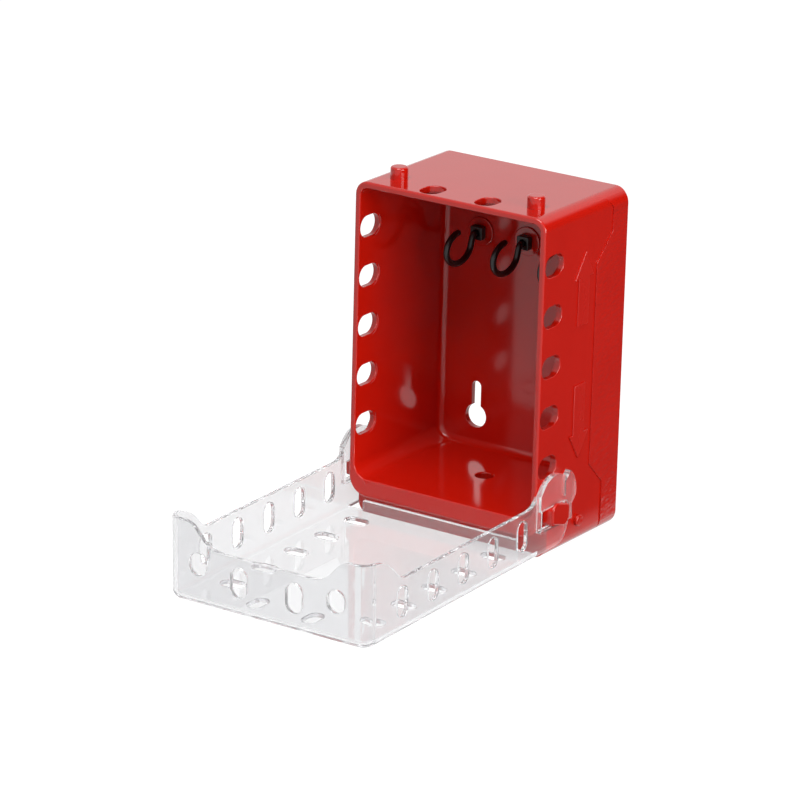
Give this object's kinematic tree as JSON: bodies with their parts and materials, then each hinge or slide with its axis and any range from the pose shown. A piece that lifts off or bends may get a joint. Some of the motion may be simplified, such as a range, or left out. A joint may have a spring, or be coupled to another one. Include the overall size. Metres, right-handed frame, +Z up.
{
  "type": "lockout box",
  "caption": "Open-fronted red plastic key box with padlock slots, key hooks inside and a clear hinged cover lying open",
  "frame": {"origin": "on the ground, under the middle of the whole box with its cover lying open", "axes": "+X across the box, +Y from the open cover towards the back of the case, +Z up"},
  "size_m": [0.1164, 0.2092, 0.171],
  "materials": {
    "case_plastic": "glossy moulded red",
    "hook_coating": "satin black dipped coating over wire",
    "collar_plastic": "satin black",
    "clear_plastic": "clear polished polycarbonate"
  },
  "bodies": {
    "case_body": {"case": "case_plastic", "key_hook_1": "hook_coating", "key_hook_2": "hook_coating", "key_hook_3": "hook_coating", "hook_collar_1": "collar_plastic", "hook_collar_2": "collar_plastic", "hook_collar_3": "collar_plastic"},
    "hinge_blocks": {"hinge_block_left": "case_plastic", "hinge_block_right": "case_plastic"},
    "cover_tray": {"cover": "clear_plastic"}
  },
  "joints": [
    {"name": "cover_hinge", "type": "hinge", "parent": "case_body", "child": "hinge_blocks", "pos_m": [0, 0.04708, 0.0226], "axis": [-1, 0, 0], "range_deg": [0, 91.37]},
    {"name": "cover_slide", "type": "slide", "parent": "hinge_blocks", "child": "cover_tray", "axis": [0, 0.9997, 0.0238], "range_m": [0, 0.0062]}
  ]
}
